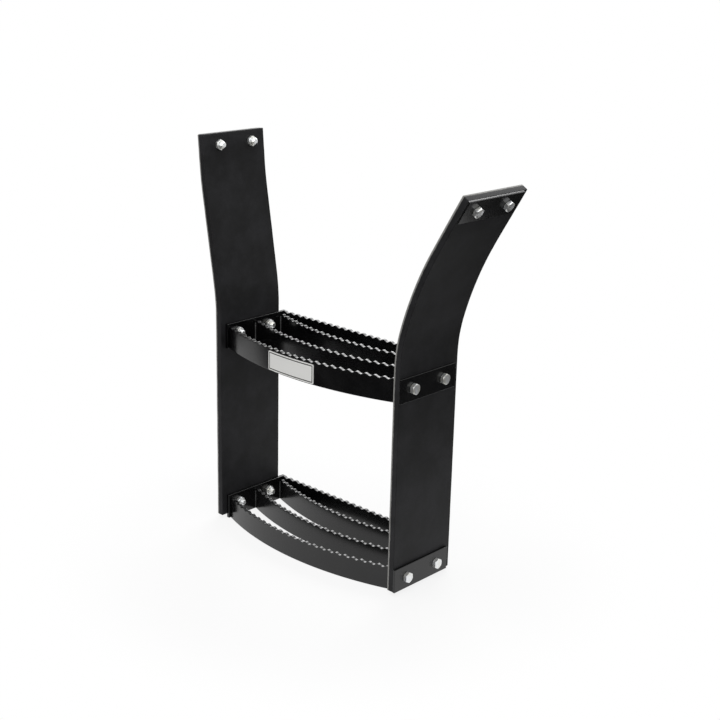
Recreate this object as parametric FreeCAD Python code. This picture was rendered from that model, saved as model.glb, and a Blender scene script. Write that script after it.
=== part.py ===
import FreeCAD, Part
import math
import os

# Bolt-on step: two welded steel treads carried between two hanging straps of rubber belting.
# Sizes are in millimetres. X runs across the step, Y from front to back and Z up.

# Straps of rubber belting
clear_width = 317.5
strap_width = 110.0
strap_thickness = 10.0
strap_length = 541.0
bend_lead = 8.0

# Bends of the left strap above the upper tread, in order up the strap
left_lower_bend_angle = 9.9
left_lower_bend_radius = 260.0
left_upper_bend_angle = -5.1
left_upper_bend_radius = 324.0
left_top_flat = 45.0

# Bends of the right strap above the upper tread, in order up the strap
right_lower_bend_angle = 16.2
right_lower_bend_radius = 190.0
right_upper_bend_angle = 14.4
right_upper_bend_radius = 460.0

# Treads
tread_rise = 254.0
bar_height = 31.75
frame_height = 34.93
bar_thickness = 4.76
bar_radius = 440.0
bar_spacing = 48.5
front_bar_setback = 8.5
front_lip = 3.2
back_bar_gap = 0.2
end_plate_thickness = 4.76

# Wave cut along the top edge of every bar
wave_pitch = 12.7
wave_depth = 2.4
wave_steps = 6

# Backing plates outside the straps
backing_length = 103.0
backing_height = 31.75
backing_thickness = 3.2

# Hex bolts and nuts
bolt_spacing = 57.15
bolt_line_height = 21.0
left_bolt_shift = 2.0
right_bolt_shift = -4.0
bolt_radius = 3.97
bolt_free_end = 3.8
hex_across_flats = 12.7
head_height = 5.4
nut_height = 6.8
nut_run_out = 0.5
thread_depth = 0.46
thread_clearance = 0.1
hole_clearance = 0.25
hole_sides = 10

# Name plate on the front bar of the upper tread
name_plate_width = 84.0
name_plate_height = 26.0
name_plate_thickness = 0.8
name_plate_gap = 0.3
name_plate_base = 1.5
name_plate_centre_x = -5.0

strap_inner_x = clear_width / 2
strap_middle_x = strap_inner_x + strap_thickness / 2
bar_half_span = strap_inner_x - end_plate_thickness
strap_bottom_z = bolt_line_height - backing_height / 2
upper_clamp_top_z = tread_rise + bolt_line_height + backing_height / 2
hole_radius = bolt_radius + hole_clearance
thread_radius = bolt_radius - thread_depth
bolt_rows = (-bolt_spacing / 2, bolt_spacing / 2)
bolt_shift = {"left": left_bolt_shift, "right": right_bolt_shift}

# Front faces of the bars: how far the arc falls back at the ends, and where its foremost point lies
bar_fall = bar_radius - math.sqrt(bar_radius ** 2 - bar_half_span ** 2)
end_plate_front_y = front_bar_setback - strap_width / 2
front_bar_apex_y = end_plate_front_y + front_lip - bar_fall
third_bar_rear_y = front_bar_apex_y + 2 * bar_spacing + bar_radius - math.sqrt(
    (bar_radius - bar_thickness) ** 2 - bar_half_span ** 2)
back_bar_front_y = third_bar_rear_y + back_bar_gap
end_plate_rear_y = back_bar_front_y + bar_thickness


def point(x, y, z):
    return FreeCAD.Vector(x, y, z)


def box(x_range, y_range, z_range):
    corner = point(x_range[0], y_range[0], z_range[0])
    size = [high - low for low, high in (x_range, y_range, z_range)]
    return Part.makeBox(*size, corner)


def moved(shape, x=0.0, y=0.0, z=0.0):
    copy = shape.copy()
    copy.translate(point(x, y, z))
    return copy


def turned(shape, axis, degrees):
    copy = shape.copy()
    copy.rotate(point(0, 0, 0), axis, degrees)
    return copy


# A strap's middle line is followed as poses: x outward from the step, z up, and the lean outward in radians

def go_straight(pose, length):
    x, z, lean = pose
    return (x + length * math.sin(lean), z + length * math.cos(lean), lean)


def go_round(pose, turn, radius):
    x, z, lean = pose
    reach = math.copysign(radius, turn)
    end = lean + turn
    return (x + reach * (math.cos(lean) - math.cos(end)), z + reach * (math.sin(end) - math.sin(lean)), end)


def beside(pose, distance):
    x, z, lean = pose
    return point(x + distance * math.cos(lean), 0, z - distance * math.sin(lean))


def strap_moves(side):
    """Straights and bends of a strap from its bottom to its top, as (kind, length or angle, radius)."""
    clamped = ("straight", upper_clamp_top_z + bend_lead - strap_bottom_z, 0.0)
    if side == "left":
        below = [("bend", math.radians(left_lower_bend_angle), left_lower_bend_radius)]
        above = [
            ("bend", math.radians(left_upper_bend_angle), left_upper_bend_radius),
            ("straight", left_top_flat, 0.0),
        ]
    else:
        below = [
            ("bend", math.radians(right_lower_bend_angle), right_lower_bend_radius),
            ("bend", math.radians(right_upper_bend_angle), right_upper_bend_radius),
        ]
        above = []
    used = sum(move_length(*move) for move in [clamped] + below + above)
    return [clamped] + below + [("straight", strap_length - used, 0.0)] + above


def move_length(kind, size, radius):
    return size if kind == "straight" else abs(size) * radius


def strap_end(side):
    pose = (strap_middle_x, strap_bottom_z, 0.0)
    for kind, size, radius in strap_moves(side):
        pose = go_straight(pose, size) if kind == "straight" else go_round(pose, size, radius)
    return pose


def clamp_poses(side):
    """Middle of the strap at each line of bolts: at the lower tread, the upper tread and the top end."""
    return {
        "lower": (strap_middle_x, bolt_line_height, 0.0),
        "upper": (strap_middle_x, tread_rise + bolt_line_height, 0.0),
        "top": go_straight(strap_end(side), -backing_height / 2),
    }


def at_pose(shape, pose, side):
    """Carries a shape drawn about the origin, outward along +X, to a line of bolts on the named side."""
    x, z, lean = pose
    placed = moved(turned(shape, point(0, 1, 0), math.degrees(lean)), x, 0, z)
    return moved(on_side(placed, side), y=bolt_shift[side])


def on_side(shape, side):
    return turned(shape, point(0, 0, 1), 180) if side == "left" else shape


def prism(sides, flat_radius, start_x, end_x):
    """Regular prism along X with a corner upward, whose flats lie at the given radius."""
    corner_radius = flat_radius / math.cos(math.pi / sides)
    angles = [2 * math.pi * step / sides for step in range(sides + 1)]
    corners = [point(start_x, corner_radius * math.sin(a), corner_radius * math.cos(a)) for a in angles]
    return Part.Face(Part.makePolygon(corners)).extrude(point(end_x - start_x, 0, 0))


def bolt_holes(flat_radius, start_x, end_x):
    """Cutters for the holes that the bolts fill, drawn with a few flat sides."""
    hole = prism(hole_sides, flat_radius, start_x, end_x)
    return Part.makeCompound([moved(hole, y=y) for y in bolt_rows])


def make_strap(side):
    """One length of belting, drawn as its bent edge and extruded across its width, with bolt holes."""
    half = strap_thickness / 2
    pose = (strap_middle_x, strap_bottom_z, 0.0)
    inner = []
    outer = []
    bottom = Part.makeLine(beside(pose, half), beside(pose, -half))
    for kind, size, radius in strap_moves(side):
        if kind == "straight":
            end = go_straight(pose, size)
            for edges, offset in ((inner, -half), (outer, half)):
                edges.append(Part.makeLine(beside(pose, offset), beside(end, offset)))
        else:
            middle = go_round(pose, size / 2, radius)
            end = go_round(pose, size, radius)
            for edges, offset in ((inner, -half), (outer, half)):
                arc = Part.Arc(beside(pose, offset), beside(middle, offset), beside(end, offset))
                edges.append(arc.toShape())
        pose = end
    top = Part.makeLine(beside(pose, -half), beside(pose, half))
    outline = Part.Wire(Part.__sortEdges__([bottom, top] + inner + outer))
    strap = moved(Part.Face(outline).extrude(point(0, strap_width, 0)), y=-strap_width / 2)
    strap = on_side(strap, side)
    for pose in clamp_poses(side).values():
        holes = bolt_holes(hole_radius, -strap_thickness, strap_thickness)
        strap = strap.cut(at_pose(holes, pose, side))
    return strap


def make_backing_plate():
    """Flat plate that spreads the bolt heads' grip, seated on the strap's outer face."""
    inner_x = strap_thickness / 2
    outer_x = inner_x + backing_thickness
    plate = box((inner_x, outer_x), (-backing_length / 2, backing_length / 2),
                (-backing_height / 2, backing_height / 2))
    return plate.cut(bolt_holes(hole_radius, 0, outer_x + backing_thickness))


def make_bolts(nut_seat_x):
    """Hex bolts at the thread's pitch line inside the nut, with shanks as flat-sided as the holes."""
    seat_x = strap_thickness / 2 + backing_thickness
    grip_x = nut_seat_x + nut_run_out
    free_x = nut_seat_x - nut_height - nut_run_out
    tip_x = nut_seat_x - nut_height - bolt_free_end
    head = prism(6, hex_across_flats / 2, seat_x, seat_x + head_height)
    shank = prism(hole_sides, bolt_radius, grip_x, seat_x)
    engaged = prism(hole_sides, thread_radius, free_x, grip_x)
    free_end = Part.makeCylinder(bolt_radius, free_x - tip_x, point(tip_x, 0, 0), point(1, 0, 0))
    bolt = head.fuse([shank, engaged, free_end])
    return [moved(bolt, y=y) for y in bolt_rows]


def make_nuts(seat_x):
    blank = prism(6, hex_across_flats / 2, seat_x - nut_height, seat_x)
    bores = bolt_holes(thread_radius + thread_clearance, seat_x - 2 * nut_height, seat_x + nut_height)
    return [moved(blank, y=y).cut(bores) for y in bolt_rows]


def wave_drop(along):
    return wave_depth * (1 - math.cos(2 * math.pi * along / wave_pitch)) / 2


def wave_points(length, height):
    """Top edge along a bar, a cosine wave with a crest in the middle, sampled a few times a pitch."""
    step = wave_pitch / wave_steps
    each_way = int(length / 2 / step)
    stations = [-length / 2] + [index * step for index in range(-each_way, each_way + 1)] + [length / 2]
    return [(along, height - wave_drop(along)) for along in stations]


def wavy_blank(along_to_x, length, height, y_range):
    """Block as long as a bar, cut to the wave on top, from which the bar is taken."""
    outline = [(length / 2, 0.0), (-length / 2, 0.0)] + wave_points(length, height)
    corners = [point(along_to_x(along), y_range[0], z) for along, z in outline]
    face = Part.Face(Part.makePolygon(corners + corners[:1]))
    return face.extrude(point(0, y_range[1] - y_range[0], 0))


def make_curved_bar():
    """Bar bent round an arc in flats one wave long, foremost at y = 0, its ends cut to the end plates."""
    arc_length = 2 * bar_radius * math.asin(bar_half_span / bar_radius)
    y_range = (-bar_thickness, bar_fall + 2 * bar_thickness)
    blank = wavy_blank(arc_to_x, arc_length, bar_height, y_range)
    flats_each_way = int(arc_length / 2 / wave_pitch) + 2
    bends = [(index + 0.5) * wave_pitch / bar_radius for index in range(-flats_each_way, flats_each_way)]
    front = [bar_plan_point(bar_radius, bend) for bend in bends]
    rear = [bar_plan_point(bar_radius - bar_thickness, bend) for bend in reversed(bends)]
    plan = Part.Face(Part.makePolygon(front + rear + front[:1]))
    return blank.common(plan.extrude(point(0, 0, 3 * bar_height)))


def arc_to_x(along):
    return bar_radius * math.sin(along / bar_radius)


def bar_plan_point(radius, angle):
    return point(radius * math.sin(angle), bar_radius - radius * math.cos(angle), -bar_height)


def make_back_bar():
    y_range = (back_bar_front_y, back_bar_front_y + bar_thickness)
    return wavy_blank(lambda along: along, 2 * bar_half_span, frame_height, y_range)


def make_end_plate(side):
    """Plate that closes a tread's end and bolts to the strap, as high as the back bar."""
    plate = box((bar_half_span, strap_inner_x), (end_plate_front_y, end_plate_rear_y), (0.0, frame_height))
    if side == "left":
        plate = plate.mirror(point(0, 0, 0), point(1, 0, 0))
    reach = strap_inner_x + end_plate_thickness
    return plate.cut(moved(bolt_holes(hole_radius, -reach, reach), y=bolt_shift[side], z=bolt_line_height))


def make_name_plate():
    """Thin plate bent round the front bar of the upper tread."""
    base_z = tread_rise + name_plate_base
    x_range = [name_plate_centre_x + side * name_plate_width / 2 for side in (-1, 1)]
    y_range = (front_bar_apex_y - bar_thickness, front_bar_apex_y + bar_fall)
    blank = box(x_range, y_range, (base_z, base_z + name_plate_height))
    centre = point(0, front_bar_apex_y + bar_radius, tread_rise - bar_height)
    seat_radius = bar_radius + name_plate_gap
    outer = Part.makeCylinder(seat_radius + name_plate_thickness, 3 * bar_height, centre)
    inner = Part.makeCylinder(seat_radius, 3 * bar_height, centre)
    return blank.common(outer).cut(inner)


def build_nodes():
    nodes = {}
    bolts = []
    nuts = []
    for side in ("left", "right"):
        nodes[f"{side}_strap"] = make_strap(side)
        for clamp, pose in clamp_poses(side).items():
            nodes[f"{side}_{clamp}_backing_plate"] = at_pose(make_backing_plate(), pose, side)
            nut_seat_x = -strap_thickness / 2 - (0.0 if clamp == "top" else end_plate_thickness)
            bolts += [at_pose(bolt, pose, side) for bolt in make_bolts(nut_seat_x)]
            nuts += [at_pose(nut, pose, side) for nut in make_nuts(nut_seat_x)]
    nodes["hex_bolts"] = Part.makeCompound(bolts)
    nodes["hex_nuts"] = Part.makeCompound(nuts)

    curved_bar = make_curved_bar()
    for level, base_z in (("lower", 0.0), ("upper", tread_rise)):
        for step, place in enumerate(("front", "second", "third")):
            bar_y = front_bar_apex_y + step * bar_spacing
            nodes[f"{level}_{place}_bar"] = moved(curved_bar, y=bar_y, z=base_z)
        nodes[f"{level}_back_bar"] = moved(make_back_bar(), z=base_z)
        for side in ("left", "right"):
            nodes[f"{level}_{side}_end_plate"] = moved(make_end_plate(side), z=base_z)
    nodes["name_plate"] = make_name_plate()
    return nodes


def main():
    """Writes every node with the origin under the middle of the whole step, at floor level."""
    nodes = build_nodes()
    bounds = Part.makeCompound(list(nodes.values())).optimalBoundingBox(False)
    os.makedirs("parts", exist_ok=True)
    for name, shape in nodes.items():
        placed = moved(shape, -bounds.Center.x, -bounds.Center.y, -bounds.ZMin)
        placed.exportStep(f"parts/{name}.step")


main()
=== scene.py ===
"""Looks of the bolt-on step: belting straps, enamelled treads, zinc hardware and the studio round them."""

import math
import random

import bmesh
import bpy
from bpy.props import FloatProperty, FloatVectorProperty, PointerProperty
from bpy.types import Operator, Panel, PropertyGroup
from mathutils import Matrix, Vector


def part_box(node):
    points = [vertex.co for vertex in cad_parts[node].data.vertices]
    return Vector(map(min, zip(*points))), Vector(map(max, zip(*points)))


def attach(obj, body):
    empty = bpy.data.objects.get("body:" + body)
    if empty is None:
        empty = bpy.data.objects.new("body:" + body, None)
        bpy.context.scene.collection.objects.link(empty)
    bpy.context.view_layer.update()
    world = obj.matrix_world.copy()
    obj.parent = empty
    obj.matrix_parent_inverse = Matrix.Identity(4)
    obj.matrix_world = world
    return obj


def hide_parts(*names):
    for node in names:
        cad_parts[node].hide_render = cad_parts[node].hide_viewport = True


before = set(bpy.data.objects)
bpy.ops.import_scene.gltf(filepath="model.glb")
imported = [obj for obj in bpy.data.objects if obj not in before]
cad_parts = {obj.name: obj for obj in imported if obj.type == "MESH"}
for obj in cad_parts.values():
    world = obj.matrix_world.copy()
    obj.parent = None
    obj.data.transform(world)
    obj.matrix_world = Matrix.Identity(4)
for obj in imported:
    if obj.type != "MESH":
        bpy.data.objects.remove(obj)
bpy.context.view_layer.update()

bl_info = {
    "name": "Bolt-on step",
    "version": (1, 0, 0),
    "blender": (4, 5, 0),
    "location": "3D View > Sidebar > Step",
    "description": "Builds the looks of a bolt-on step round its packed solids",
    "category": "Object",
}

SIDES = {"left": -1, "right": 1}
LEVELS = ("lower", "upper")
CURVED_BARS = ("front_bar", "second_bar", "third_bar")
MM = 0.001
SAME_PLACE = 0.001 * MM
NEAR = 0.1 * MM

# A full turn in radians, near enough for a wave that starts at random
ROUGH_TURN = 6.28

# How finely the skins are drawn
STRAP_STEP = 4 * MM
STEPS_PER_WAVE = 20
STEPS_PER_THREAD = 10
HEX_STEPS = 72
BOLT_STEPS = 48
WELD_STEP = 0.4 * MM
WELD_SIDES = 10
NAME_PLATE_STEPS = 40

# Camera of the photograph, from a perspective fit: angles in degrees, lengths in millimetres
CAMERA_AZIMUTH = 42.88859
CAMERA_ELEVATION = 17.67241
CAMERA_ROLL = 1.35920
CAMERA_DISTANCE = 1717.563
CAMERA_TARGET = (24.569, 4.241, 276.150)
SENSOR_WIDTH = 36.0

# A small white table over a dark sheet, in metres: gloss that faces past the table's edge mirrors the dark
# sheet, a painted dark reflection standing for the unlit room
TABLE_X = (-1.05, 0.4)
TABLE_Y = (-0.43, 0.55)
TABLE_DROP = 0.2 * MM
DARK_SHEET = (-14.0, 14.0)
DARK_SHEET_DROP = 0.75

# Soft boxes: place, aim and size in metres
KEY_BOX = ((0.1, -0.3, 1.9), (0.0, 0.0, 0.2), (1.2, 1.0))
BACK_BOX = ((-0.75, 1.4, 1.3), (0.0, 0.0, 0.3), (1.3, 1.2))
FILL_BOX = ((1.3, -1.5, 1.0), (0.0, 0.0, 0.25), (1.0, 1.0))


def colour(code):
    """Linear colour of an sRGB hex code."""
    channels = [int(code[start:start + 2], 16) / 255 for start in (1, 3, 5)]
    linear = [c / 12.92 if c <= 0.04045 else ((c + 0.055) / 1.055) ** 2.4 for c in channels]
    return (*linear, 1.0)


def length_property(name, description, default):
    """Setting for a length in metres."""
    return FloatProperty(name=name, description=description, default=default, min=0.0, unit="LENGTH",
                         precision=5)


def power_property(name, description, default):
    """Setting for a lamp's power in watts."""
    return FloatProperty(name=name, description=description, default=default, min=0.0, unit="POWER")


def colour_property(name, description, code):
    """Setting for a colour, from its hex code."""
    return FloatVectorProperty(name=name, description=description, default=colour(code), size=4, min=0.0,
                               max=1.0, subtype="COLOR")


class StrapLooks(PropertyGroup):
    """Sizes and colours of the belting straps."""
    edge_radius: length_property("Edge radius", "Rounding of the belting's knife-cut edges", 0.9 * MM)
    cut_wander: length_property("Cut wander", "How far the knife strayed along the cut edges", 0.25 * MM)
    # The pale band is partly the ply and partly a painted highlight on the cut edges' left corner.
    ply_and_highlight_depth: FloatProperty(name="Ply depth", description="Share of the thickness that the pale ply takes up",
                             default=0.25, min=0.0, max=1.0)
    rubber: colour_property("Rubber", "Colour of the rubber covers", "#141415")
    rubber_bloom: colour_property("Bloom", "Colour where the rubber has bloomed a little", "#232325")
    ply_and_highlight: colour_property("Ply", "Colour of the fabric that shows on a cut edge", "#908f8c")


class TreadLooks(PropertyGroup):
    """Sizes and colours of the welded treads."""
    bar_radius: length_property("Bar bend radius", "Radius that the tread bars are bent to", 440.0 * MM)
    bar_thickness: length_property("Bar thickness", "Thickness of the tread bars", 4.76 * MM)
    wave_pitch: length_property("Wave pitch", "Distance from crest to crest along a bar", 12.7 * MM)
    wave_depth: length_property("Wave depth", "Depth of the wave cut into the top edge", 2.4 * MM)
    edge_radius: length_property("Edge radius", "Rounding of the bars' edges under the paint", 0.6 * MM)
    weld_radius: length_property("Weld radius", "Size of the weld beads at the bars' ends", 1.5 * MM)
    enamel: colour_property("Enamel", "Colour of the black enamel", "#060607")
    enamel_thin: colour_property("Thin enamel", "Colour where the enamel lies thinner", "#0d0d0e")


class HardwareLooks(PropertyGroup):
    """Sizes and colours of the bolts, nuts and name plate."""
    thread_pitch: length_property("Thread pitch", "Pitch of the bolts' coarse thread", 1.41 * MM)
    thread_depth: length_property("Thread depth", "Depth of the bolts' thread", 0.72 * MM)
    thread_length: length_property("Thread length", "Length of thread drawn from the bolt's tip", 9.0 * MM)
    border_inset: length_property("Border inset", "Distance of the border line from the plate's edge", 1.5 * MM)
    border_width: length_property("Border width", "Width of the plate's border line", 1.3 * MM)
    zinc: colour_property("Zinc", "Colour of the bright zinc plate", "#f1f3f5")
    zinc_tint: colour_property("Passivated zinc", "Tint that the passivation leaves in patches", "#e6e5dc")
    aluminium: colour_property("Aluminium", "Colour of the name plate's satin face", "#f4f4f1")
    border: colour_property("Border", "Colour of the border line on the name plate", "#161616")


class StudioLooks(PropertyGroup):
    """Floor, lamps and camera of the studio."""
    floor: colour_property("Floor", "Colour of the table top", "#f4f4f4")
    key_power: power_property("Key power", "Power of the soft box overhead", 12.0)
    back_power: power_property("Back power", "Power of the soft box behind", 24.0)
    fill_power: power_property("Fill power", "Power of the soft box at the camera", 12.0)
    ambient: FloatProperty(name="Ambient", description="Light that the white room throws back", default=0.35,
                           min=0.0)
    lens: FloatProperty(name="Lens", description="Focal length on a 36 mm sensor, in millimetres",
                        default=66.309, min=1.0)


# Meshes

def skin(rings, caps=True):
    """Vertices and faces of a tube through rings that have the same number of points."""
    size = len(rings[0])
    verts = [place for ring in rings for place in ring]
    faces = []
    for row in range(len(rings) - 1):
        for column in range(size):
            near = row * size + column
            far = row * size + (column + 1) % size
            faces.append((near, far, far + size, near + size))
    if caps:
        faces.append(tuple(range(size)))
        faces.append(tuple(range(len(verts) - size, len(verts))))
    return verts, faces


def joined(meshes):
    """Several lists of vertices and faces as one."""
    verts = []
    faces = []
    for more_verts, more_faces in meshes:
        start = len(verts)
        verts += more_verts
        faces += [tuple(start + index for index in face) for face in more_faces]
    return verts, faces


def new_piece(name, verts, faces, material, slot, nodes=(), sharp=40.0, marks=None):
    """Puts a mesh in the scene as a piece of the step, in place of the nodes it stands for."""
    mesh = bpy.data.meshes.new(name)
    mesh.from_pydata(verts, [], faces)
    for label, values in (marks or {}).items():
        mesh.attributes.new(label, "FLOAT", "POINT").data.foreach_set("value", values)
    show(name, mesh, material, nodes, sharp)


def show(name, mesh, material, nodes, sharp):
    """Links a mesh as a piece on the root body, smooth apart from edges sharper than an angle in degrees."""
    work = bmesh.new()
    work.from_mesh(mesh)
    bmesh.ops.recalc_face_normals(work, faces=work.faces)
    work.to_mesh(mesh)
    work.free()
    mesh.shade_smooth()
    mesh.set_sharp_from_angle(angle=math.radians(sharp))
    mesh.materials.append(material)
    piece = bpy.data.objects.new(name, mesh)
    bpy.context.scene.collection.objects.link(piece)
    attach(piece, "root")
    if nodes:
        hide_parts(*nodes)
    even = piece.modifiers.new("even faces", "WEIGHTED_NORMAL")
    even.keep_sharp = True


def quarter_round(centre, radius, start, steps=3):
    """Points round a quarter turn from the start angle in degrees, anticlockwise."""
    angles = [math.radians(start + 90 * step / steps) for step in range(steps + 1)]
    return [(centre[0] + radius * math.cos(a), centre[1] + radius * math.sin(a)) for a in angles]


def rounded_section(low, high, radius):
    """Rectangle with rounded corners, as points from its lower right corner on."""
    corners = (((high[0], low[1]), (-1, 1), 270), ((high[0], high[1]), (-1, -1), 0),
               ((low[0], high[1]), (1, -1), 90), ((low[0], low[1]), (1, 1), 180))
    points = []
    for (x, y), (to_x, to_y), start in corners:
        points += quarter_round((x + to_x * radius, y + to_y * radius), radius, start)
    return points


# Materials

def put(tree, kind, inputs=None, **settings):
    """Adds a shader node with its settings, and fills or links its inputs."""
    node = tree.nodes.new("ShaderNode" + kind)
    for name, value in settings.items():
        setattr(node, name, value)
    for name, value in (inputs or {}).items():
        if isinstance(value, bpy.types.NodeSocket):
            tree.links.new(value, node.inputs[name])
        else:
            node.inputs[name].default_value = value
    return node


def new_material(name):
    """A material with its tree, its surface shader and the place of each point in metres."""
    material = bpy.data.materials.new(name)
    material.use_nodes = True
    tree = material.node_tree
    return material, tree, tree.nodes["Principled BSDF"], put(tree, "TexCoord").outputs["Object"]


def link(tree, shader, **outputs):
    """Links outputs to the shader's sockets, which are named with underscores for spaces."""
    for name, output in outputs.items():
        tree.links.new(output, shader.inputs[name.replace("_", " ")])


def belting_material(looks):
    # Rolled between hot rolls: an even dark grey with faint cloudy bloom and a low, wide sheen.
    # Knife-cut edges show a pale, slightly ragged band on their left quarter: partly the fabric ply under one
    # cover, partly a painted highlight where that corner catches the light.
    material, tree, shader, place = new_material("rubber belting, calendered and knife cut")
    bloom = put(tree, "TexNoise", {"Vector": place, "Scale": 1 / (38 * MM), "Detail": 6.0, "Roughness": 0.62})
    patches = put(tree, "MapRange", {"Value": bloom.outputs["Fac"], "From Min": 0.38, "From Max": 0.66})
    covers = put(tree, "Mix", {0: patches.outputs["Result"], 6: looks.rubber, 7: looks.rubber_bloom},
                 data_type="RGBA")
    across = put(tree, "Attribute", attribute_name="across").outputs["Fac"]
    cut = put(tree, "Attribute", attribute_name="cut").outputs["Fac"]
    fray = put(tree, "TexNoise", {"Vector": place, "Scale": 1 / (5 * MM), "Detail": 3.0})
    stray = put(tree, "MapRange", {"Value": fray.outputs["Fac"], "To Min": -0.08, "To Max": 0.08})
    ragged = put(tree, "Math", {0: across, 1: stray.outputs["Result"]}, operation="ADD")
    # Painted highlight in part: the pale band on the cut edges' left quarter stands for the ply and for the
    # light that this corner catches.
    ply_and_highlight_mask = put(tree, "MapRange", {"Value": ragged.outputs[0], "From Min": looks.ply_and_highlight_depth + 0.05,
                                    "From Max": looks.ply_and_highlight_depth - 0.05})
    edge_ply_and_highlight_mask = put(tree, "Math", {0: ply_and_highlight_mask.outputs["Result"], 1: cut}, operation="MULTIPLY")
    painted = put(tree, "Mix", {0: edge_ply_and_highlight_mask.outputs[0], 6: covers.outputs[2], 7: looks.ply_and_highlight}, data_type="RGBA")
    sheen = put(tree, "MapRange", {"Value": bloom.outputs["Fac"], "To Min": 0.5, "To Max": 0.66})
    # The real grain is about 0.5 mm; it is drawn at 2 mm so that it shows.
    grain = put(tree, "TexNoise", {"Vector": place, "Scale": 1 / (2 * MM), "Detail": 3.0})
    relief = put(tree, "Bump", {"Height": grain.outputs["Fac"], "Strength": 0.35, "Distance": 0.15 * MM})
    link(tree, shader, Base_Color=painted.outputs[2], Roughness=sheen.outputs["Result"],
         Normal=relief.outputs["Normal"])
    shader.inputs["Specular IOR Level"].default_value = 0.2
    return material


def enamel_material(looks):
    # Dipped and stoved black enamel on steel: a hard gloss that mirrors the room, with a little orange peel
    # and a trace of dust that dulls it in patches.
    name = "steel bar, dipped in gloss black enamel"
    if name in bpy.data.materials:
        return bpy.data.materials[name]
    material, tree, shader, place = new_material(name)
    dust = put(tree, "TexNoise", {"Vector": place, "Scale": 1 / (24 * MM), "Detail": 5.0, "Roughness": 0.6})
    thin = put(tree, "MapRange", {"Value": dust.outputs["Fac"], "From Min": 0.4, "From Max": 0.7})
    coat = put(tree, "Mix", {0: thin.outputs["Result"], 6: looks.enamel, 7: looks.enamel_thin},
               data_type="RGBA")
    gloss = put(tree, "MapRange", {"Value": dust.outputs["Fac"], "To Min": 0.15, "To Max": 0.27})
    peel = put(tree, "TexNoise", {"Vector": place, "Scale": 1 / (4 * MM), "Detail": 1.0})
    relief = put(tree, "Bump", {"Height": peel.outputs["Fac"], "Strength": 0.25, "Distance": 0.06 * MM})
    link(tree, shader, Base_Color=coat.outputs[2], Roughness=gloss.outputs["Result"],
         Normal=relief.outputs["Normal"])
    return material


def zinc_material(looks):
    # Barrel-plated bright zinc: a silvery, slightly soft mirror with faint warm patches from the passivation
    # and small dull knocks from the barrel.
    name = "steel fastener, barrel plated in bright zinc"
    if name in bpy.data.materials:
        return bpy.data.materials[name]
    material, tree, shader, place = new_material(name)
    patches = put(tree, "TexNoise", {"Vector": place, "Scale": 1 / (7 * MM), "Detail": 3.0})
    tint = put(tree, "MapRange", {"Value": patches.outputs["Fac"], "From Min": 0.4, "From Max": 0.7})
    plate = put(tree, "Mix", {0: tint.outputs["Result"], 6: looks.zinc, 7: looks.zinc_tint}, data_type="RGBA")
    knocks = put(tree, "TexNoise", {"Vector": place, "Scale": 1 / (1.5 * MM), "Detail": 2.0})
    dull = put(tree, "MapRange", {"Value": knocks.outputs["Fac"], "To Min": 0.26, "To Max": 0.44})
    relief = put(tree, "Bump", {"Height": knocks.outputs["Fac"], "Strength": 0.2, "Distance": 0.05 * MM})
    link(tree, shader, Base_Color=plate.outputs[2], Roughness=dull.outputs["Result"],
         Normal=relief.outputs["Normal"])
    shader.inputs["Metallic"].default_value = 0.82
    return material


def name_plate_material(looks):
    # Etched aluminium with a clear lacquer: a pale satin grey with fine streaks along the sheet.
    # The border line is etched and filled dark.
    material, tree, shader, place = new_material("aluminium sheet, etched and lacquered")
    # The real streaks are finer than a tenth of a millimetre; they are drawn at 0.8 mm so that they show.
    along = put(tree, "Mapping", {"Vector": place, "Scale": (0.04, 1.0, 1.0)})
    streaks = put(tree, "TexNoise", {"Vector": along.outputs["Vector"], "Scale": 1 / (0.8 * MM),
                                     "Detail": 2.0})
    rim = put(tree, "Attribute", attribute_name="rim").outputs["Fac"]
    middle = looks.border_inset + looks.border_width / 2
    line = put(tree, "Math", {0: rim, 1: middle, 2: looks.border_width / 2}, operation="COMPARE")
    face = put(tree, "Mix", {0: line.outputs[0], 6: looks.aluminium, 7: looks.border}, data_type="RGBA")
    satin = put(tree, "MapRange", {"Value": streaks.outputs["Fac"], "To Min": 0.36, "To Max": 0.5})
    link(tree, shader, Base_Color=face.outputs[2], Roughness=satin.outputs["Result"])
    shader.inputs["Metallic"].default_value = 0.1
    return material


# Straps

def strap_inner_line(node, outward):
    """Front edge of a strap's inner face, from its bottom to its top."""
    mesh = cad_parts[node].data
    front_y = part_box(node)[0].y
    facing_in = -0.5
    reached = {}
    for face in mesh.polygons:
        if face.normal.x * outward < facing_in:
            for index in face.vertices:
                place = mesh.vertices[index].co
                if place.y < front_y + NEAR:
                    reached[round(place.z, 6)] = place.x
    return [Vector((x, 0.0, z)) for z, x in sorted(reached.items())]


def even_steps(line, step, rounds=6):
    """Points at even steps along a line, its facets averaged out in a few rounds."""
    walked = [0.0]
    for start, end in zip(line, line[1:]):
        walked.append(walked[-1] + (end - start).length)
    count = round(walked[-1] / step)
    points = []
    piece = 0
    for index in range(count + 1):
        goal = walked[-1] * index / count
        while piece < len(line) - 2 and walked[piece + 1] < goal:
            piece += 1
        share = (goal - walked[piece]) / (walked[piece + 1] - walked[piece])
        points.append(line[piece].lerp(line[piece + 1], share))
    for _ in range(rounds):
        inner = [(a + 2 * b + c) / 4 for a, b, c in zip(points, points[1:], points[2:])]
        points = [points[0]] + inner + [points[-1]]
    return points


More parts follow.
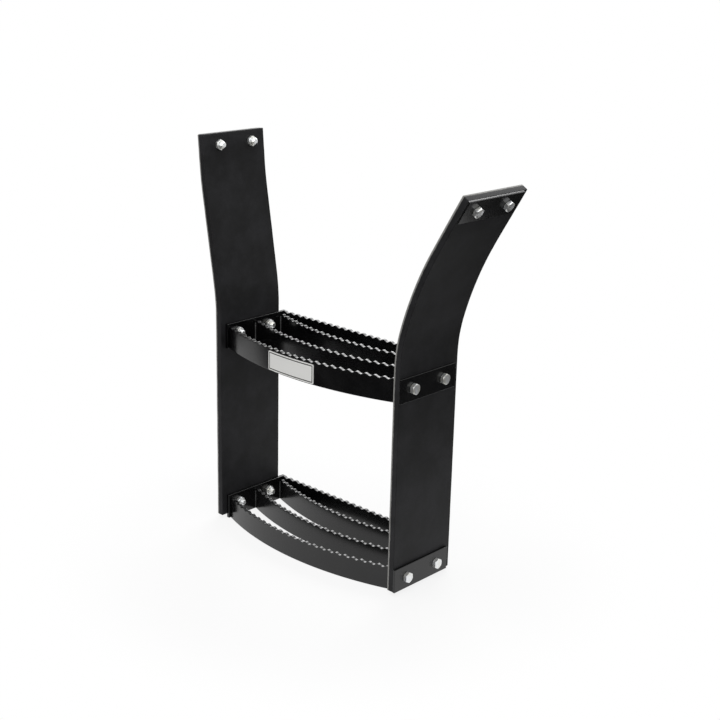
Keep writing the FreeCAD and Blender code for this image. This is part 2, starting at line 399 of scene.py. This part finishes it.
def strap_mesh(node, outward, looks, chance):
    """Belting swept up a strap's line, with marks for the depth from its left side and for the cut edges.

    Both straps carry the pale band of their cut edges on their left side, towards the step's left: partly the
    ply, partly a painted highlight on that corner.
    """
    line = even_steps(strap_inner_line(node, outward), STRAP_STEP)
    low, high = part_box(node)
    outer_x = [v.co.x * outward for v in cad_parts[node].data.vertices if v.co.z < low.z + NEAR]
    thickness = max(outer_x) - min(outer_x)
    per_edge = 4
    shortest, longest = 20, 90
    waves = [(chance.uniform(shortest, longest) * MM, chance.uniform(0, ROUGH_TURN))
             for _ in range(2 * per_edge)]
    end_ease = 0.6 * MM
    cut_edge = 0.6 * looks.edge_radius
    rings = []
    across = []
    cut = []

    def add_ring(index, lift, inset, on_end):
        below = line[max(index - 1, 0)]
        above = line[min(index + 1, len(line) - 1)]
        up = (above - below).normalized()
        out = Vector((up.z, 0.0, -up.x)) * outward
        height = line[index].z
        front_swing, back_swing = (
            sum(math.sin(height / size * ROUGH_TURN + phase) for size, phase in share) / per_edge
            for share in (waves[:per_edge], waves[per_edge:]))
        front = low.y + looks.cut_wander * (0.5 + 0.5 * front_swing) + inset
        back = high.y - looks.cut_wander * (0.5 + 0.5 * back_swing) - inset
        section = rounded_section((inset, front), (thickness - inset, back), looks.edge_radius)
        rings.append([line[index] + out * depth + Vector((0, y, 0)) + up * lift for depth, y in section])
        across.extend(depth / thickness if outward > 0 else 1 - depth / thickness for depth, y in section)
        cut.extend(float(on_end or min(y - front, back - y) < cut_edge) for depth, y in section)

    add_ring(0, 0.0, end_ease, True)
    add_ring(0, end_ease, 0.0, False)
    for index in range(1, len(line) - 1):
        add_ring(index, 0.0, 0.0, False)
    add_ring(len(line) - 1, -end_ease, 0.0, False)
    add_ring(len(line) - 1, 0.0, end_ease, True)
    return *skin(rings), {"across": across, "cut": cut}


# Treads

def bar_section(height, shoulder, thickness, radius):
    """Section of a bar as (depth behind the front face, height), its edges broken.

    Lines at the foot and the shoulder keep the faces flat between the wave and the lower edge.
    """
    # Each rounded corner has four points
    edges = rounded_section((0.0, 0.0), (thickness, height), radius)
    foot = radius + 1 * MM
    rear = [(thickness, foot), (thickness, shoulder)]
    front = [(0.0, shoulder), (0.0, foot)]
    return edges[:4] + rear + edges[4:12] + front + edges[12:]


def bar_mesh(node, looks, curved):
    """Flat bar on edge with the wave along its top, bent round an arc or straight."""
    low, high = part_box(node)
    middle = (low.x + high.x) / 2
    half = (high.x - low.x) / 2
    thickness = looks.bar_thickness if curved else high.y - low.y
    reach = looks.bar_radius * math.asin(half / (looks.bar_radius - thickness)) if curved else half
    shoulder = high.z - low.z - looks.wave_depth - 2 * looks.edge_radius
    step = looks.wave_pitch / STEPS_PER_WAVE
    each_way = int(reach / step)
    stations = [-reach] + [index * step for index in range(-each_way, each_way + 1)] + [reach]
    rings = []
    for along in stations:
        drop = looks.wave_depth * (1 - math.cos(math.tau * along / looks.wave_pitch)) / 2
        ring = []
        for depth, z in bar_section(high.z - low.z - drop, shoulder, thickness, looks.edge_radius):
            x, y = along, depth
            if curved:
                turn = along / looks.bar_radius
                x = (looks.bar_radius - depth) * math.sin(turn)
                y = looks.bar_radius - (looks.bar_radius - depth) * math.cos(turn)
            ring.append(Vector((middle + max(-half, min(half, x)), low.y + y, low.z + z)))
        rings.append(ring)
    return skin(rings)


def eased_plate(node, radius):
    """Copy of a plate's solid with its long edges broken."""
    flat = math.radians(1)
    square = math.radians(60)
    shortest = 3 * MM
    work = bmesh.new()
    work.from_mesh(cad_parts[node].data)
    bmesh.ops.remove_doubles(work, verts=work.verts, dist=SAME_PLACE)
    bmesh.ops.dissolve_limit(work, angle_limit=flat, verts=work.verts, edges=work.edges)
    edges = [edge for edge in work.edges
             if edge.calc_face_angle(0.0) > square and edge.calc_length() > shortest]
    bmesh.ops.bevel(work, geom=edges, offset=radius, segments=3, profile=0.5, affect="EDGES",
                    clamp_overlap=True)
    mesh = bpy.data.meshes.new(node + "_eased")
    work.to_mesh(mesh)
    work.free()
    return mesh


def weld_bead(corner, toward, height, looks, chance):
    """Rippled bead up the corner between a bar's face and an end plate, thick towards the open side."""
    ripple, ripple_share = 2.4 * MM, 0.12
    swell_per_metre, swell_share = 310, 0.1
    taper = 2 * MM
    blunt = 0.05
    sag = 0.35 * MM
    lean = Vector((0, toward * 0.2 * MM, 0))
    angles = [math.tau * turn / WELD_SIDES for turn in range(WELD_SIDES)]
    count = int(height / WELD_STEP)
    start = chance.uniform(0, ROUGH_TURN)
    rings = []
    for step in range(count + 1):
        rise = height * step / count
        ends = min(1.0, math.sqrt(max(0.0, min(rise, height - rise)) / taper) + blunt)
        wobble = (1 + ripple_share * math.sin(math.tau * rise / ripple + start)
                  + swell_share * math.sin(rise * swell_per_metre + start))
        radius = looks.weld_radius * wobble * ends
        ring = [Vector((radius * math.cos(a), radius * math.sin(a), rise + sag * math.cos(a))) for a in angles]
        rings.append([corner + place + lean for place in ring])
    return skin(rings)


# Bolts and nuts

def solids_of(node):
    """The faces of each separate solid in a node, as (corners, normal, area), in the same order each run."""
    work = bmesh.new()
    work.from_mesh(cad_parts[node].data)
    bmesh.ops.remove_doubles(work, verts=work.verts, dist=SAME_PLACE)
    work.faces.index_update()
    waiting = set(work.verts)
    solids = []
    for first in work.verts:
        if first not in waiting:
            continue
        waiting.discard(first)
        front = [first]
        faces = set()
        while front:
            vert = front.pop()
            faces.update(vert.link_faces)
            for edge in vert.link_edges:
                other = edge.other_vert(vert)
                if other in waiting:
                    waiting.discard(other)
                    front.append(other)
        ordered = sorted(faces, key=lambda face: face.index)
        solids.append([([v.co.copy() for v in f.verts], f.normal.copy(), f.calc_area()) for f in ordered])
    work.free()
    return solids


def fasteners(node):
    """Where each bolt or nut lies: its middle line, its outward axis and its reach along that axis."""
    square_on = 0.001
    corner_share = 0.95
    found = []
    for faces in solids_of(node):
        corners = [corner for face in faces for corner in face[0]]
        ends = [(area, normal) for _, normal, area in faces if abs(normal.y) < square_on]
        axis = max(ends, key=lambda end: end[0])[1].normalized()
        centre_y = (min(c.y for c in corners) + max(c.y for c in corners)) / 2
        if axis.x * corners[0].x < 0:
            axis = -axis
        side = Vector((0, 1, 0))
        up = side.cross(axis).normalized()
        if up.z < 0:
            up = -up
        heights = [c.dot(up) for c in corners]
        centre_up = (min(heights) + max(heights)) / 2
        line = up * centre_up + side * centre_y
        far = max(heights) - centre_up
        hexed = [c.dot(axis) for c in corners
                 if math.hypot(c.dot(up) - centre_up, c.y - centre_y) > corner_share * far]
        found.append({
            "line": line, "axis": axis, "up": up, "side": side, "flat": far * math.cos(math.pi / 6),
            "tip": min(c.dot(axis) for c in corners), "hex": (min(hexed), max(hexed)),
        })
    return found


def turned_rings(item, profile, steps):
    """Rings about a fastener's axis.

    Each spot of the profile gives the radius and the place along the axis at an angle.
    """
    rings = []
    for spot in profile:
        ring = []
        for step in range(steps):
            angle = math.tau * step / steps
            radius, along = spot(angle)
            ring.append(item["line"] + item["axis"] * along
                        + (item["up"] * math.cos(angle) + item["side"] * math.sin(angle)) * radius)
        rings.append(ring)
    return rings


def hexagon(flat, angle):
    """Radius of a hexagon with a corner at angle zero."""
    return flat / math.cos(angle % (math.pi / 3) - math.pi / 6)


def hex_body(flat, seat, end):
    """Profile of a hexagon from its washer face at the seat to its chamfered end."""
    circle = 0.95 * flat
    washer = 0.4 * MM
    burr = 0.15 * MM
    sense = math.copysign(1.0, end - seat)
    slope = sense * math.tan(math.radians(30))
    lip = seat + sense * washer
    return [
        lambda a: (circle, seat),
        lambda a: (circle, lip),
        lambda a: (hexagon(flat, a) - burr, lip),
        lambda a: (hexagon(flat, a), lip + sense * burr),
        lambda a: (hexagon(flat, a), end - (hexagon(flat, a) - circle) * slope),
        lambda a: (circle, end),
    ]


def plain_rings(spots):
    """Profile that is the same all the way round, from its radii and places along the axis."""
    return [lambda a, spot=spot: spot for spot in spots]


def bolt_mesh(item, looks, radius):
    """Threaded tip, plain shank and a hex head with a washer face and a forged dimple, as one skin."""
    seat, top = item["hex"]
    tip = item["tip"]
    flat = item["flat"]
    rise = looks.thread_pitch / STEPS_PER_THREAD
    root = radius - looks.thread_depth
    crest_share, flank_share = 0.12, 0.76
    chamfer = 0.3 * MM
    run_out = 0.2 * MM
    rim, floor, dent = 0.66 * flat, 0.54 * flat, 0.35 * MM

    def thread(along):
        def spot(angle):
            turn = (along / looks.thread_pitch - angle / math.tau) % 1.0
            crest = 1 - min(1.0, max(0.0, (abs(turn - 0.5) * 2 - crest_share) / flank_share))
            free = root - chamfer + along
            return min(root + looks.thread_depth * crest, free), tip + along
        return spot

    count = int(looks.thread_length / rise)
    threaded = [thread(index * rise) for index in range(count + 1)]
    shank = plain_rings([(radius, tip + looks.thread_length + run_out), (radius, seat)])
    dimple = plain_rings([(rim, top), (floor, top - dent)])
    return skin(turned_rings(item, threaded + shank + hex_body(flat, seat, top) + dimple, BOLT_STEPS))


def nut_mesh(item, bore):
    """Lock nut: a hexagon with a rounded collar on its free end and a bore through it."""
    free, seat = item["hex"]
    collar = 0.35 * (seat - free)
    wide = 0.86 * item["flat"]
    flare, flare_depth = 0.3 * MM, 0.5 * MM
    shares = ((1.0, 1.0), (1.0, 0.45), (0.95, 0.15), (0.84, 0.0))
    rounding = [(out * wide, free + up * collar) for out, up in shares]
    inside = [(bore + flare, free), (bore, free + flare_depth), (bore, seat)]
    profile = hex_body(item["flat"], seat, free + collar) + plain_rings(rounding + inside)
    rings = turned_rings(item, profile, HEX_STEPS)
    return skin(rings + rings[:1], caps=False)


def name_plate_mesh(treads):
    """Thin plate bent to the front bar, its corners rounded, with a mark for the distance from its edge."""
    low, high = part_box("name_plate")
    bar_low, bar_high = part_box("upper_front_bar")
    middle = (bar_low.x + bar_high.x) / 2
    outer = bar_low.y - low.y + treads.bar_radius
    thickness = 0.8 * MM
    corner = 2.0 * MM
    rows = [step * MM for step in (0.0, 0.1, 0.3, 0.6, 1.0, 1.4, 1.5, 2.1, 2.2, 3.0)]
    margin = rows[-1]
    inner = high.x - low.x - 2 * margin
    between = [low.x + margin + inner * step / NAME_PLATE_STEPS for step in range(1, NAME_PLATE_STEPS)]
    stations = [low.x + row for row in rows] + between + [high.x - row for row in reversed(rows)]
    height = high.z - low.z
    levels = rows + [height / 2] + [height - row for row in reversed(rows)]
    rings = []
    rim = []
    for x in stations:
        side_gap = min(x - low.x, high.x - x)
        cut = corner - math.sqrt(max(0.0, corner ** 2 - max(0.0, corner - side_gap) ** 2))
        ring = []
        for depth, order in ((0.0, levels), (thickness, levels[::-1])):
            for level in order:
                z = low.z + cut + level * (height - 2 * cut) / height
                radius = outer - depth
                turn = math.asin((x - middle) / outer)
                y = bar_low.y + treads.bar_radius - radius * math.cos(turn)
                ring.append(Vector((middle + radius * math.sin(turn), y, z)))
                rim.append(min(side_gap, level, height - level))
        rings.append(ring)
    return *skin(rings), {"rim": rim}


# Operators

class STEP_OT_straps(Operator):
    """Sweeps the two belting straps up the lines of their solids"""
    bl_idname = "bolt_on_step.straps"
    bl_label = "Straps"

    def execute(self, context):
        looks = context.scene.step_straps
        material = belting_material(looks)
        for side, outward in SIDES.items():
            node = f"{side}_strap"
            verts, faces, marks = strap_mesh(node, outward, looks, random.Random(node))
            new_piece(f"{side}_belting_strap", verts, faces, material, "rubber_belting", [node], sharp=50.0,
                      marks=marks)
        return {"FINISHED"}


class STEP_OT_tread_bars(Operator):
    """Bends the wave-edged bars of both treads"""
    bl_idname = "bolt_on_step.tread_bars"
    bl_label = "Tread bars"

    def execute(self, context):
        looks = context.scene.step_treads
        material = enamel_material(looks)
        for level in LEVELS:
            for bar in (*CURVED_BARS, "back_bar"):
                node = f"{level}_{bar}"
                verts, faces = bar_mesh(node, looks, bar != "back_bar")
                new_piece(f"{level}_wavy_{bar}", verts, faces, material, "black_painted_steel", [node])
        return {"FINISHED"}


class STEP_OT_plates(Operator):
    """Eases the edges of the end plates and backing plates"""
    bl_idname = "bolt_on_step.plates"
    bl_label = "End and backing plates"

    def execute(self, context):
        looks = context.scene.step_treads
        material = enamel_material(looks)
        for node in sorted(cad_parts):
            if node.endswith("_plate") and node != "name_plate":
                mesh = eased_plate(node, looks.edge_radius)
                show(f"{node}_eased", mesh, material, [node], sharp=40.0)
        return {"FINISHED"}


class STEP_OT_welds(Operator):
    """Lays weld beads where the bars meet the end plates"""
    bl_idname = "bolt_on_step.welds"
    bl_label = "Weld beads"

    def execute(self, context):
        looks = context.scene.step_treads
        chance = random.Random("welds")
        bare = 1.5 * MM
        beads = []
        for level in LEVELS:
            for bar, faces in zip(CURVED_BARS, (("rear",), ("front", "rear"), ("front",))):
                low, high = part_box(f"{level}_{bar}")
                half = (high.x - low.x) / 2
                fall = looks.bar_radius - math.sqrt(looks.bar_radius ** 2 - half ** 2)
                for x in (low.x, high.x):
                    for face in faces:
                        y = low.y + fall + (0.0 if face == "front" else looks.bar_thickness)
                        toward = -1 if face == "front" else 1
                        height = high.z - low.z - looks.wave_depth - 2 * bare
                        corner = Vector((x, y, low.z + bare))
                        beads.append(weld_bead(corner, toward, height, looks, chance))
        new_piece("weld_beads", *joined(beads), enamel_material(looks), "black_painted_steel", sharp=60.0)
        return {"FINISHED"}


class STEP_OT_hardware(Operator):
    """Makes the hex bolts and nuts in place of their plain solids"""
    bl_idname = "bolt_on_step.hardware"
    bl_label = "Bolts and nuts"

    def execute(self, context):
        looks = context.scene.step_hardware
        material = zinc_material(looks)
        bolts = fasteners("hex_bolts")
        # A 5/16 in shank under a hexagon of 1/2 in
        radius = bolts[0]["flat"] * 0.625
        thread_bite = 0.3 * MM
        meshes = [bolt_mesh(item, looks, radius) for item in bolts]
        new_piece("zinc_hex_bolts", *joined(meshes), material, "zinc_plated_steel", ["hex_bolts"], sharp=28.0)
        meshes = [nut_mesh(item, radius - thread_bite) for item in fasteners("hex_nuts")]
        new_piece("zinc_hex_nuts", *joined(meshes), material, "zinc_plated_steel", ["hex_nuts"], sharp=22.0)
        return {"FINISHED"}


class STEP_OT_name_plate(Operator):
    """Bends the bare name plate round the upper tread's front bar"""
    bl_idname = "bolt_on_step.name_plate"
    bl_label = "Name plate"

    def execute(self, context):
        scene = context.scene
        verts, faces, marks = name_plate_mesh(scene.step_treads)
        material = name_plate_material(scene.step_hardware)
        new_piece("bare_name_plate", verts, faces, material, "name_plate_aluminium", ["name_plate"], sharp=50.0,
                  marks=marks)
        return {"FINISHED"}


# Studio

def seen_rays(tree):
    """One for rays from the camera, from a mirror or through glass, and zero for light that is thrown about."""
    path = put(tree, "LightPath").outputs
    direct = put(tree, "Math", {0: path["Is Camera Ray"], 1: path["Is Glossy Ray"]}, operation="MAXIMUM")
    seen = put(tree, "Math", {0: direct.outputs[0], 1: path["Is Transmission Ray"]}, operation="MAXIMUM")
    return seen.outputs[0]


def table_material(looks):
    # Matt white laminate: near white to the eye, with a faint soft shadow under the step.
    material, tree, shader, place = new_material("laminate table top, matt white")
    cloud = put(tree, "TexNoise", {"Vector": place, "Scale": 1 / (400 * MM), "Detail": 2.0})
    tone = put(tree, "MapRange", {"Value": cloud.outputs["Fac"], "To Min": 0.985, "To Max": 1.0})
    white = put(tree, "Mix", {0: tone.outputs["Result"], 6: (0.9, 0.9, 0.9, 1.0), 7: looks.floor},
                data_type="RGBA")
    link(tree, shader, Base_Color=white.outputs[2])
    shader.inputs["Roughness"].default_value = 0.9
    shader.inputs["Specular IOR Level"].default_value = 0.0
    glow = put(tree, "Emission", {"Color": (1.0, 1.0, 1.0, 1.0), "Strength": 1.0})
    far = put(tree, "VectorMath", {0: place}, operation="LENGTH")
    bare = put(tree, "MapRange", {"Value": far.outputs["Value"], "From Min": 0.25, "From Max": 0.42,
                                  "To Min": 0.85, "To Max": 1.0}, interpolation_type="SMOOTHSTEP")
    share = put(tree, "Math", {0: seen_rays(tree), 1: bare.outputs["Result"]}, operation="MULTIPLY")
    mixed = put(tree, "MixShader", {0: share.outputs[0], 1: shader.outputs[0], 2: glow.outputs[0]})
    tree.links.new(mixed.outputs[0], tree.nodes["Material Output"].inputs["Surface"])
    return material


def dark_reflection_sheet_material():
    # Painted dark reflection: a dark sheet below the table with a faint cloudy tone, hidden from the camera,
    # from bounced light and from shadows, so that only the gloss of the enamel mirrors it.
    material, tree, shader, place = new_material("studio floor, sealed dark concrete")
    cloud = put(tree, "TexNoise", {"Vector": place, "Scale": 1 / (300 * MM), "Detail": 4.0})
    tone = put(tree, "Mix", {0: cloud.outputs["Fac"], 6: colour("#0c0c0c"), 7: colour("#161616")},
               data_type="RGBA")
    link(tree, shader, Base_Color=tone.outputs[2])
    shader.inputs["Roughness"].default_value = 0.8
    return material


def stage_sheet(name, x_range, y_range, z, material):
    """Flat, level sheet of the stage."""
    (left, right), (front, back) = x_range, y_range
    corners = [(left, front, z), (right, front, z), (right, back, z), (left, back, z)]
    mesh = bpy.data.meshes.new(name)
    mesh.from_pydata(corners, [], [(0, 1, 2, 3)])
    mesh.materials.append(material)
    sheet = bpy.data.objects.new(name, mesh)
    bpy.context.scene.collection.objects.link(sheet)
    return sheet


def soft_box(name, place, aim, size, power):
    """Rectangular lamp of the stage, turned towards its aim."""
    lamp = bpy.data.lights.new(name, "AREA")
    lamp.shape = "RECTANGLE"
    lamp.size, lamp.size_y = size
    lamp.energy = power
    box = bpy.data.objects.new(name, lamp)
    box.location = place
    box.rotation_euler = (Vector(aim) - Vector(place)).to_track_quat("-Z", "Y").to_euler()
    bpy.context.scene.collection.objects.link(box)


def set_world(looks):
    """White room: plain white where it is seen or mirrored, and a plain level where it lights the step."""
    world = bpy.data.worlds.new("white studio")
    bpy.context.scene.world = world
    world.use_nodes = True
    tree = world.node_tree
    background = tree.nodes["Background"]
    background.inputs["Color"].default_value = (1.0, 1.0, 1.0, 1.0)
    level = put(tree, "MapRange", {"Value": seen_rays(tree), "To Min": looks.ambient, "To Max": 1.0})
    tree.links.new(level.outputs["Result"], background.inputs["Strength"])


def set_camera(looks):
    """Looks at the step from its front right, a little from above, as in the photograph."""
    azimuth = math.radians(CAMERA_AZIMUTH)
    elevation = math.radians(CAMERA_ELEVATION)
    roll = math.radians(CAMERA_ROLL)
    target = Vector(CAMERA_TARGET) * MM
    right = Vector((math.cos(azimuth), math.sin(azimuth), 0))
    back = Vector((math.sin(azimuth) * math.cos(elevation), -math.cos(azimuth) * math.cos(elevation),
                   math.sin(elevation)))
    up = back.cross(right)
    image_right = right * math.cos(roll) + up * math.sin(roll)
    image_up = up * math.cos(roll) - right * math.sin(roll)
    data = bpy.data.cameras.new("camera")
    data.lens = looks.lens
    data.sensor_width = SENSOR_WIDTH
    data.clip_start = 0.01
    camera = bpy.data.objects.new("camera", data)
    turn = Matrix((image_right, image_up, back)).transposed()
    place = target + back * CAMERA_DISTANCE * MM
    camera.matrix_world = Matrix.LocRotScale(place, turn.to_quaternion(), None)
    bpy.context.scene.collection.objects.link(camera)
    bpy.context.scene.camera = camera


class STEP_OT_studio(Operator):
    """Sets the table, the lamps, the white room and the camera"""
    bl_idname = "bolt_on_step.studio"
    bl_label = "Studio"

    def execute(self, context):
        looks = context.scene.step_studio
        context.scene.view_settings.view_transform = "Standard"
        stage_sheet("table_top", TABLE_X, TABLE_Y, -TABLE_DROP, table_material(looks))
        # Painted dark reflection: this sheet is seen by glossy rays only, as the unlit room.
        below = stage_sheet("dark_reflection_sheet", DARK_SHEET, DARK_SHEET, -DARK_SHEET_DROP, dark_reflection_sheet_material())
        below.visible_camera = False
        below.visible_diffuse = False
        below.visible_shadow = False
        soft_box("key_soft_box", *KEY_BOX, looks.key_power)
        soft_box("back_soft_box", *BACK_BOX, looks.back_power)
        soft_box("fill_soft_box", *FILL_BOX, looks.fill_power)
        set_world(looks)
        set_camera(looks)
        return {"FINISHED"}


class STEP_PT_panel(Panel):
    """Lists the operators and the settings of the step"""
    bl_idname = "STEP_PT_panel"
    bl_label = "Bolt-on step"
    bl_space_type = "VIEW_3D"
    bl_region_type = "UI"
    bl_category = "Step"

    def draw(self, context):
        for operator in OPERATORS:
            self.layout.operator(operator.bl_idname)
        for name in SCENE_LOOKS:
            box = self.layout.box()
            looks = getattr(context.scene, name)
            for setting in looks.__annotations__:
                box.prop(looks, setting)


OPERATORS = (STEP_OT_straps, STEP_OT_tread_bars, STEP_OT_plates, STEP_OT_welds, STEP_OT_hardware,
             STEP_OT_name_plate, STEP_OT_studio)
SCENE_LOOKS = {"step_straps": StrapLooks, "step_treads": TreadLooks, "step_hardware": HardwareLooks,
               "step_studio": StudioLooks}


def register():
    for item in (*SCENE_LOOKS.values(), *OPERATORS, STEP_PT_panel):
        bpy.utils.register_class(item)
    for name, looks in SCENE_LOOKS.items():
        setattr(bpy.types.Scene, name, PointerProperty(type=looks))


def unregister():
    for name in SCENE_LOOKS:
        delattr(bpy.types.Scene, name)
    for item in reversed((*SCENE_LOOKS.values(), *OPERATORS, STEP_PT_panel)):
        bpy.utils.unregister_class(item)


def main():
    register()
    bpy.ops.bolt_on_step.straps()
    bpy.ops.bolt_on_step.tread_bars()
    bpy.ops.bolt_on_step.plates()
    bpy.ops.bolt_on_step.welds()
    bpy.ops.bolt_on_step.hardware()
    bpy.ops.bolt_on_step.name_plate()
    bpy.ops.bolt_on_step.studio()


if __name__ == "__main__":
    main()
